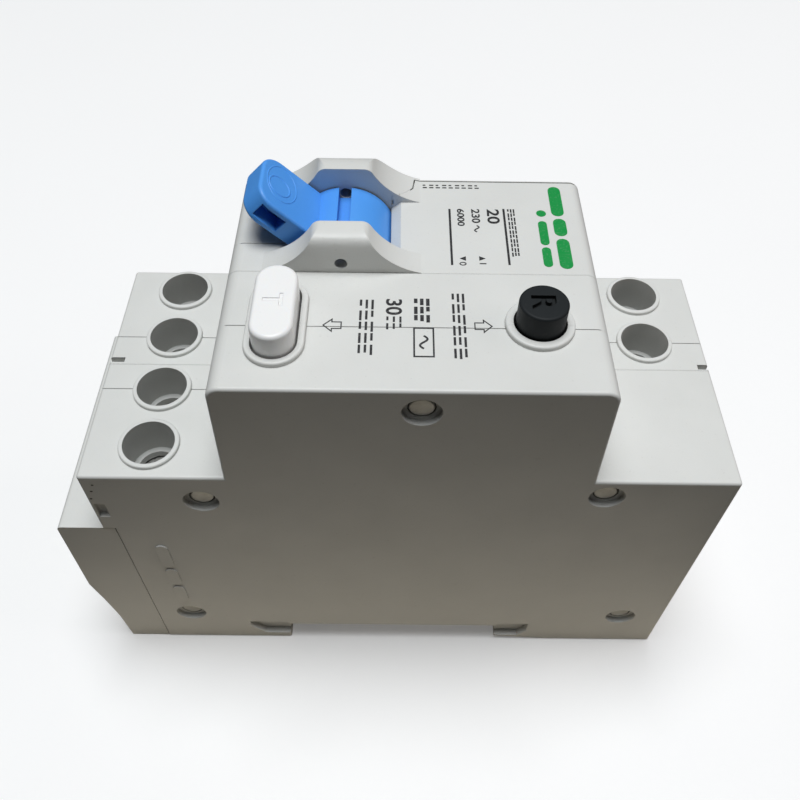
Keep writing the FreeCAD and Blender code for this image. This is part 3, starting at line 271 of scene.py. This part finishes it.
SLOT_MATERIALS = {
    "shell_plastic": moulded_plastic("shell_plastic", (0.76, 0.765, 0.74), (0.70, 0.705, 0.68), 0.42,
                                     dust_and_shade_share=0.2, recess_shade_share=0.3, bleed=0.04),
    "clip_plastic": moulded_plastic("clip_plastic", (0.33, 0.34, 0.33), (0.27, 0.28, 0.27), 0.5, grain=0.01),
    "toggle_plastic": moulded_plastic("toggle_plastic", (0.1, 0.38, 0.95), (0.08, 0.34, 0.9), 0.42,
                                      dirt_and_shade=(0.01, 0.08, 0.35), recess_shade_share=0.15, bleed=0.05),
    "test_plastic": moulded_plastic("test_plastic", (0.98, 0.98, 0.97), (0.95, 0.95, 0.94), 0.32,
                                    grain=0.002, dirt_and_shade=(0.5, 0.48, 0.45), dust_and_shade_share=0.15,
                                    recess_shade_share=0.1, bleed=0.08),
    "reset_plastic": moulded_plastic("reset_plastic", (0.016, 0.019, 0.021), (0.01, 0.013, 0.014), 0.55,
                                     dirt_and_shade=(0.08, 0.075, 0.07), dust_and_shade_share=0.2, wear=0.25, gloss=0.2),
    "inner_plastic": moulded_plastic("inner_plastic", (0.1, 0.1, 0.1), (0.07, 0.07, 0.07), 0.5),
    "zinc_steel": plated_metal("zinc_steel", (0.48, 0.48, 0.46), (0.34, 0.33, 0.3), 0.42),
    "copper": plated_metal("copper", (0.86, 0.45, 0.28), (0.4, 0.2, 0.12), 0.32),
    "contact_silver": plated_metal("contact_silver", (0.85, 0.84, 0.8), (0.5, 0.47, 0.4), 0.28),
    "bimetal": plated_metal("bimetal", (0.6, 0.56, 0.48), (0.45, 0.35, 0.22), 0.35),
    "fibre": moulded_plastic("fibre", (0.3, 0.12, 0.06), (0.22, 0.09, 0.05), 0.6, grain=0.02,
                             grain_scale=2.0),
    "core_black": moulded_plastic("core_black", (0.03, 0.03, 0.035), (0.02, 0.02, 0.022), 0.45),
    "wire_insulation": moulded_plastic("wire_insulation", (0.55, 0.04, 0.03), (0.4, 0.03, 0.02), 0.4),
    "board_green": circuit_laminate("board_green"),
    "varistor_blue": moulded_plastic("varistor_blue", (0.03, 0.16, 0.45), (0.02, 0.12, 0.35), 0.3),
    "capacitor_sleeve": moulded_plastic("capacitor_sleeve", (0.03, 0.03, 0.09), (0.02, 0.02, 0.06), 0.25),
    "component_black": moulded_plastic("component_black", (0.025, 0.025, 0.025), (0.04, 0.04, 0.04), 0.5),
    "screw_zinc": plated_metal("screw_zinc", (0.6, 0.6, 0.58), (0.4, 0.38, 0.33), 0.3, brush=(3, 3, 3)),
    "cage_zinc": plated_metal("cage_zinc", (0.62, 0.6, 0.52), (0.42, 0.38, 0.28), 0.38),
}
WOUND_NODES = {"sensing_winding", "magnetic_coil", "relay_coil", "flexible_braids"}
WOUND_COPPER = wound_wire("wound_copper", (0.7, 0.3, 0.14), (0.35, 0.13, 0.06))
DARK_INK = printed_ink("dark_ink", (0.02, 0.02, 0.022))
GREEN_INK = printed_ink("green_ink", (0.0, 0.3, 0.055))


def paint_frame():
    """Gives every CAD node the material of its slot in the record."""
    for part in frame["record"]["subparts"]:
        node, slot = part["node"], part["material_slot"]
        material = WOUND_COPPER if node in WOUND_NODES else SLOT_MATERIALS[slot]
        mesh = NODES[node].data
        mesh.materials.clear()
        mesh.materials.append(material)
        for face in mesh.polygons:
            face.material_index = 0


# Mesh helpers. A sheet is a bmesh drawn flat, in millimetres, and placed by a matrix.

def sweep(sheet, sections, closed):
    """Joins rings of points into a closed skin."""
    rings = [[sheet.verts.new(point) for point in section] for section in sections]
    following = rings[1:] + rings[:1] if closed else rings[1:]
    for ring, after in zip(rings, following):
        for i in range(len(ring)):
            sheet.faces.new((ring[i - 1], ring[i], after[i], after[i - 1]))
    if not closed:
        sheet.faces.new(rings[0])
        sheet.faces.new(rings[-1])


def sideways(points, i, closed):
    """The mitred sideways direction at point i of a flat path, for a half width of 1."""
    count = len(points)
    steps = []
    if closed or i > 0:
        steps.append((points[i] - points[i - 1]).normalized())
    if closed or i < count - 1:
        steps.append((points[(i + 1) % count] - points[i]).normalized())
    normals = [Vector((-step.y, step.x)) for step in steps]
    middle = sum(normals, Vector((0, 0))).normalized()
    return middle / middle.dot(normals[0])


def ribbon(sheet, points, width, closed=False, rise=INK_THICKNESS):
    """A flat line of even width with mitred corners, sunk a little into its surface."""
    points = [Vector(point) for point in points]
    sections = []
    for i, point in enumerate(points):
        offset = sideways(points, i, closed) * width / 2
        left, right = point + offset, point - offset
        sections.append([(*left, rise), (*right, rise), (*right, -rise), (*left, -rise)])
    sweep(sheet, sections, closed)


def filled(sheet, points, rise=INK_THICKNESS):
    """A flat filled outline."""
    sweep(sheet, [[(*point, level) for point in points] for level in (-rise, rise)], False)


def bead(sheet, points, radius):
    """A round bead along a closed flat path, half of it above the surface."""
    points = [Vector(point) for point in points]
    sides = 10
    sections = []
    for i, point in enumerate(points):
        out = sideways(points, i, True)
        ring = []
        for k in range(sides):
            turn = math.tau * k / sides
            flat = point + out * radius * math.cos(turn)
            ring.append((*flat, radius * math.sin(turn)))
        sections.append(ring)
    sweep(sheet, sections, True)


def ellipse(centre, half_x, half_y, count=48):
    """The points of a flat ellipse."""
    turns = [math.tau * i / count for i in range(count)]
    return [(centre[0] + half_x * math.cos(t), centre[1] + half_y * math.sin(t)) for t in turns]


def stadium(x, y, round_ends=8):
    """An outline with two straight sides along its longer span and half-round ends."""
    (x0, x1), (y0, y1) = x, y
    radius = min(x1 - x0, y1 - y0) / 2
    along_x = x1 - x0 > y1 - y0
    ends = [(x1 - radius, y1 - radius), (x0 + radius, y0 + radius)]
    start = -math.pi / 2 if along_x else 0
    points = []
    for end, (cx, cy) in enumerate(ends):
        for i in range(round_ends + 1):
            turn = start + math.pi * (end + i / round_ends)
            points.append((cx + radius * math.cos(turn), cy + radius * math.sin(turn)))
    return points


NOSE = Matrix.Translation((0, 0, NOSE_TOP))
SIDE = Matrix.Translation((0, SIDE_FACE, 0)) @ Matrix.Rotation(math.pi / 2, 4, "X")


def add_piece(name, mesh, material, body):
    """A visible piece that rides with a body of the frame and belongs to a material slot."""
    mesh.materials.clear()
    mesh.materials.append(material)
    piece = bpy.data.objects.new(name, mesh)
    bpy.context.scene.collection.objects.link(piece)
    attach(piece, body)
    return piece


def finish_sheet(sheet, place):
    """Turns a sheet into a mesh in metres at its place in the row frame."""
    bmesh.ops.recalc_face_normals(sheet, faces=sheet.faces)
    mesh = bpy.data.meshes.new("sheet")
    sheet.transform(Matrix.Scale(MM, 4) @ place)
    sheet.to_mesh(mesh)
    sheet.free()
    return mesh


# Printing on the nose. It reads along -Y, and the tops of its characters point along +X.

def across(x, y0, y1):
    """A printed line across the nose at one x."""
    return [(x, y0), (x, y1)]


def stroke_column(sheet, x, y, count, stroke):
    """Plain strokes in place of a line of words: count blocks of three, with varied lengths."""
    pitch = (y[1] - y[0]) / count
    for i in range(count):
        for k in range(3):
            level = x[0] + stroke / 2 + (x[1] - x[0] - stroke) * k / 2
            share = 0.55 + 0.33 * abs(math.sin(1.7 * i + 2.3 * k))
            start = y[0] + pitch * (i + 0.06)
            ribbon(sheet, across(level, start, start + pitch * share), stroke)


def wave_mark(sheet, centre, reach, swing, stroke):
    """The sine mark for alternating current, reading along -Y."""
    steps = 14
    points = []
    for i in range(steps + 1):
        phase = math.tau * i / steps
        points.append((centre[0] + swing * math.sin(phase), centre[1] + reach * (0.5 - i / steps)))
    ribbon(sheet, points, stroke)


def block_arrow(sheet, tip, tail, head_half=0.92, shaft_half=0.5):
    """A hollow arrow along X, from the tail's x to the tip."""
    x, y = tip
    neck = x + (tail - x) * 0.48
    outline = [(x, y), (neck, y + head_half), (neck, y + shaft_half), (tail, y + shaft_half),
               (tail, y - shaft_half), (neck, y - shaft_half), (neck, y - head_half)]
    ribbon(sheet, outline, FINE_STROKE, closed=True)


def triangle(sheet, apex, base_x, half):
    """A small filled triangle that points along X."""
    filled(sheet, [apex, (base_x, apex[1] + half), (base_x, apex[1] - half)])


def switch_signs(sheet):
    """A triangle and a bar for on, a triangle and an open circle for off."""
    triangle(sheet, apex=(8.7, 2.66), base_x=7.95, half=0.39)
    ribbon(sheet, [(7.95, 1.75), (8.75, 1.75)], 0.16)
    triangle(sheet, apex=(5.6, 2.62), base_x=6.35, half=0.38)
    circle = ellipse((5.97, 1.7), half_x=0.36, half_y=0.24, count=20)
    ribbon(sheet, circle, FINE_STROKE, closed=True)


def code_strokes(sheet):
    """Pairs of short strokes along the nose's rear edge, in place of a type code."""
    count = 9
    first_x = 1.35
    pitch = 0.84
    for i in range(count):
        start = first_x + i * pitch
        rear_length = 0.35 + 0.2 * (i % 2)
        for y, length in ((16.15, 0.55), (16.65, rear_length)):
            ribbon(sheet, [(start, y), (start + length, y)], CODE_STROKE)


def breaker_printing():
    """Dark marks beside the toggle: two rules, switch signs, and strokes in place of words."""
    sheet = bmesh.new()
    ribbon(sheet, across(4.67, 11.86, 1.45), WORD_STROKE)
    ribbon(sheet, across(11.5, 12.0, 1.57), WORD_STROKE)
    stroke_column(sheet, x=(11.95, 12.85), y=(12.0, 3.0), count=11, stroke=TEXT_STROKE)
    code_strokes(sheet)
    wave_mark(sheet, centre=(7.95, 8.1), reach=1.2, swing=0.28, stroke=SIGN_STROKE)
    switch_signs(sheet)
    add_piece("breaker_printing", finish_sheet(sheet, NOSE), DARK_INK, "housing")


def residual_printing():
    """Dark marks between the test and reset buttons: arrows, a boxed sine mark, strokes for words."""
    sheet = bmesh.new()
    block_arrow(sheet, tip=(-10.0, -8.6), tail=-8.0)
    block_arrow(sheet, tip=(8.76, -8.5), tail=6.86)
    stroke_column(sheet, x=(-6.04, -4.45), y=(-4.45, -13.1), count=5, stroke=WORD_STROKE)
    stroke_column(sheet, x=(4.42, 5.86), y=(-3.3, -13.5), count=6, stroke=WORD_STROKE)
    stroke_column(sheet, x=(0.11, 1.88), y=(-4.2, -8.1), count=3, stroke=BOLD_STROKE)
    stroke_column(sheet, x=(-3.0, -1.3), y=(-7.1, -9.2), count=2, stroke=UNIT_STROKE)
    box_low, box_high = (0.09, -13.1), (2.22, -8.9)
    box_outline = [(box_low[0], box_high[1]), box_high, (box_high[0], box_low[1]), box_low]
    ribbon(sheet, box_outline, TEXT_STROKE, closed=True)
    wave_mark(sheet, centre=(1.15, -11.0), reach=1.9, swing=0.42, stroke=UNIT_STROKE)
    add_piece("residual_printing", finish_sheet(sheet, NOSE), DARK_INK, "housing")


def green_bars():
    """Plain green bars with round ends, and one dot, on the supply end of the nose."""
    sheet = bmesh.new()
    wide_column = (17.5, 19.1)
    narrow_column = (15.6, 16.7)
    for y in ((10.7, 16.6), (6.9, 10.2), (1.0, 6.4)):
        filled(sheet, stadium(wide_column, y))
    for y in ((5.2, 9.7), (1.3, 4.8)):
        filled(sheet, stadium(narrow_column, y))
    dot_radius = 0.62
    filled(sheet, ellipse((16.2, 11.2), dot_radius, dot_radius, 24))
    add_piece("green_bars", finish_sheet(sheet, NOSE), GREEN_INK, "housing")


def character_mesh(text, thickness, boldness=0.018):
    """A flat text mesh with its lower left corner at the origin and its box 1 by 1."""
    curve = bpy.data.curves.new("characters", "FONT")
    curve.body = text
    curve.extrude = thickness / 2
    curve.offset = boldness
    curve.resolution_u = 6
    drawn = bpy.data.objects.new("characters", curve)
    mesh = bpy.data.meshes.new_from_object(drawn)
    bpy.data.objects.remove(drawn)
    xs = [v.co.x for v in mesh.vertices]
    ys = [v.co.y for v in mesh.vertices]
    size = (max(xs) - min(xs), max(ys) - min(ys))
    mesh.transform(Matrix.Translation((-min(xs), -min(ys), 0)))
    mesh.transform(Matrix.Diagonal((1 / size[0], 1 / size[1], 1, 1)))
    return mesh


def lay_text(text, x, y, level, thickness):
    """Text read along -Y that fills x low..high and y start..end, at a level."""
    mesh = character_mesh(text, thickness)
    turn = Matrix.Rotation(-math.pi / 2, 4, "Z")
    size = Matrix.Diagonal((y[0] - y[1], x[1] - x[0], 1, 1))
    place = Matrix.Translation((x[0], y[0], level))
    mesh.transform(Matrix.Scale(MM, 4) @ place @ turn @ size)
    return mesh


def ratings():
    """Generic rating numbers, as on a dial."""
    numbers = {
        "current_number": ("20", (9.35, 10.9), (11.9, 9.1)),
        "voltage_number": ("230", (7.4, 8.45), (11.9, 9.2)),
        "breaking_number": ("6000", (5.6, 6.5), (11.9, 8.6)),
        "residual_number": ("30", (-3.08, -1.24), (-4.4, -6.9)),
    }
    for name, (text, x, y) in numbers.items():
        mesh = lay_text(text, x, y, NOSE_TOP, 2 * INK_THICKNESS)
        add_piece(name, mesh, DARK_INK, "housing")


def side_face_bars():
    """Three plain moulded bars, hardly proud of the side face, near the load end's foot."""
    sheet = bmesh.new()
    column = (-34.3, -32.6)
    for z in ((19.6, 25.6), (14.2, 18.9), (8.6, 13.5)):
        filled(sheet, stadium(column, z), rise=SIDE_RELIEF)
    mesh = finish_sheet(sheet, SIDE)
    add_piece("side_face_bars", mesh, SLOT_MATERIALS["shell_plastic"], "housing")


def painted_pit_shades():
    """Three tiny dark discs of painted shade on the side face, standing in for pits, in a row under its top
    corner at the load end.
    """
    sheet = bmesh.new()
    for x, z in ((-38.5, 40.5), (-39.0, 39.1), (-39.5, 37.4)):
        filled(sheet, ellipse((x, z), half_x=0.17, half_y=0.11, count=16))
    add_piece("painted_pit_shades", finish_sheet(sheet, SIDE), DARK_INK, "housing")


# Marks on the moving pieces

def lever_marks():
    """A raised ring inside a raised oval on the lever's upper face."""
    sheet = bmesh.new()
    ring_centre = (12.0, -8.4)
    ring_radius = 1.5
    bead(sheet, ellipse(ring_centre, ring_radius, ring_radius), radius=0.14)
    oval_centre = (11.7, -9.0)
    bead(sheet, ellipse(oval_centre, half_x=2.15, half_y=2.95, count=64), radius=0.12)
    along = Vector((math.sin(TOGGLE_LEAN), 0, math.cos(TOGGLE_LEAN)))
    out = Vector((math.cos(TOGGLE_LEAN), 0, -math.sin(TOGGLE_LEAN)))
    turn = Matrix((along, (0, -1, 0), out)).transposed().to_4x4()
    place = Matrix.Translation(TOGGLE_AXIS + out * (LEVER_HALF - 0.06)) @ turn
    mesh = finish_sheet(sheet, place)
    for face in mesh.polygons:
        face.use_smooth = True
    add_piece("lever_marks", mesh, SLOT_MATERIALS["toggle_plastic"], "toggle")


def engrave(node, body, text, x, y, depth):
    """Cuts a letter into the top of a button, through a hidden cutter that rides with it."""
    top = box_mm(node)[1].z
    cutter = bpy.data.objects.new(node + "_cutter", lay_text(text, x, y, top, 2 * depth))
    bpy.context.scene.collection.objects.link(cutter)
    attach(cutter, body)
    cutter.hide_render = True
    cutter.hide_viewport = True
    button = NODES[node]
    weld = button.modifiers.new("weld", "WELD")
    weld.merge_threshold = 0.002 * MM
    cut = button.modifiers.new("engraving", "BOOLEAN")
    cut.operation = "DIFFERENCE"
    cut.object = cutter
    cut.solver = "EXACT"
    split = button.modifiers.new("crisp_edges", "EDGE_SPLIT")
    split.split_angle = math.radians(35)


def button_letters():
    """T for test and R for reset, the usual function letters."""
    middle = (RESET_LOW.y + RESET_HIGH.y) / 2
    test_x = (TEST_LOW.x + TEST_HIGH.x) / 2
    letter_x = (test_x - 1.2, test_x + 1.0)
    engrave("test_button", "test_key", "T", letter_x, (middle + 1.0, middle - 0.9), TEST_LETTER_DEPTH)
    reset_x = (RESET_LOW.x + RESET_HIGH.x) / 2
    letter_x = (reset_x - 1.4, reset_x + 1.3)
    engrave("reset_button", "reset_key", "R", letter_x, (middle + 1.0, middle - 1.2), RESET_LETTER_DEPTH)


# Copies of the button springs, fixed to the housing

def pressed_spring(node):
    """A copy of a spring, fixed to the housing in place of the hidden original."""
    mesh = NODES[node].data.copy()
    coil = add_piece(node + "_coil", mesh, SLOT_MATERIALS["zinc_steel"], "housing")
    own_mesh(coil)
    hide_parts(node)


# Stage

def pale_floor():
    """A plain pale floor. Only the part near the device bounces light, so its sides darken upwards."""
    graph = Graph("pale_floor")
    grain = graph.noise(0.02, 5)
    graph.set("Base Color", graph.mix(grain, (0.93, 0.93, 0.93), (0.89, 0.89, 0.885)))
    graph.set("Emission Color", (1.0, 1.0, 1.0, 1.0))
    graph.set("Emission Strength", 0.15)
    graph.set("Roughness", graph.remap(grain, 0.3, 0.7, 0.7, 0.8))
    graph.bumps(graph.add("ShaderNodeNewGeometry").outputs["Normal"], (graph.noise(0.8, 3), 0.02))
    seen = graph.add("ShaderNodeLightPath").outputs["Is Camera Ray"]
    distance = graph.add("ShaderNodeVectorMath", {0: graph.place}, operation="LENGTH").outputs["Value"]
    near, far = 55, 90
    bounced = graph.mix(graph.remap(distance, near, far), (0.66, 0.59, 0.48), (0.02, 0.02, 0.02))
    bounce = graph.add("ShaderNodeBsdfDiffuse", {"Color": bounced}).outputs[0]
    shown = graph.add("ShaderNodeMixShader", {0: seen, 1: bounce, 2: graph.surface.outputs[0]})
    output = graph.tree.nodes["Material Output"]
    graph.tree.links.new(shown.outputs[0], output.inputs["Surface"])
    sheet = bmesh.new()
    reach = 900
    ring = [(-reach, -reach), (reach, -reach), (reach, reach), (-reach, reach)]
    sheet.faces.new([sheet.verts.new((*point, FLOOR_LEVEL)) for point in ring])
    mesh = finish_sheet(sheet, Matrix.Identity(4))
    mesh.materials.append(graph.material)
    floor = bpy.data.objects.new("floor", mesh)
    bpy.context.scene.collection.objects.link(floor)


def soft_light(name, place, aim, size, power, colour):
    """A square soft light, placed and aimed in metres."""
    lamp = bpy.data.lights.new(name, "AREA")
    lamp.shape = "SQUARE"
    lamp.size = size
    lamp.energy = power
    lamp.color = colour
    light = bpy.data.objects.new(name, lamp)
    bpy.context.scene.collection.objects.link(light)
    light.location = Vector(place)
    light.rotation_mode = "QUATERNION"
    light.rotation_quaternion = (Vector(aim) - light.location).to_track_quat("-Z", "Y")


def lighting():
    """Soft light from above and a weak warm light from the right."""
    nose = (0, 0, 0.03)
    cool_white = (0.975, 1.0, 1.02)
    soft_light("key", place=(-0.03, 0.04, 1.25), aim=nose, size=0.6, power=13.6, colour=cool_white)
    warm_white = (1.0, 0.88, 0.86)
    soft_light("right", place=(0.6, 0.02, 0.3), aim=nose, size=0.3, power=0.5, colour=warm_white)
    settings = bpy.context.scene.view_settings
    settings.view_transform = "Standard"
    settings.look = "None"


def room():
    """A room that is dim to the device and pale to the camera, like the floor."""
    world = bpy.data.worlds.new("room")
    bpy.context.scene.world = world
    world.use_nodes = True
    tree = world.node_tree
    dim = tree.nodes["Background"]
    dim.inputs["Color"].default_value = (1.0, 0.95, 0.86, 1)
    dim.inputs["Strength"].default_value = 0.028
    pale = tree.nodes.new("ShaderNodeBackground")
    pale.inputs["Color"].default_value = (0.86, 0.87, 0.87, 1)
    seen = tree.nodes.new("ShaderNodeLightPath").outputs["Is Camera Ray"]
    shown = tree.nodes.new("ShaderNodeMixShader")
    tree.links.new(seen, shown.inputs[0])
    tree.links.new(dim.outputs[0], shown.inputs[1])
    tree.links.new(pale.outputs[0], shown.inputs[2])
    tree.links.new(shown.outputs[0], tree.nodes["World Output"].inputs["Surface"])


def camera():
    """The viewing angle: in front of the residual-current module and well above it."""
    lens = bpy.data.cameras.new("camera")
    lens.sensor_width = 36
    lens.lens = 37.19
    lens.clip_start = 0.005
    lens.clip_end = 20
    forward = Vector((0.00579, 0.62361, -0.78171)).normalized()
    right = Vector((0.99992, 0.00531, 0.01164))
    right = (right - forward * right.dot(forward)).normalized()
    up = right.cross(forward)
    eye = bpy.data.objects.new("camera", lens)
    bpy.context.scene.collection.objects.link(eye)
    turn = Matrix((right, up, -forward)).transposed().to_4x4()
    place = Vector((-1.90, -72.18, 125.64))
    eye.matrix_world = Matrix.Translation(place * MM) @ turn
    bpy.context.scene.camera = eye


paint_frame()
breaker_printing()
residual_printing()
green_bars()
ratings()
side_face_bars()
painted_pit_shades()
lever_marks()
button_letters()
pressed_spring("test_spring")
pressed_spring("reset_spring")
pale_floor()
lighting()
room()
camera()
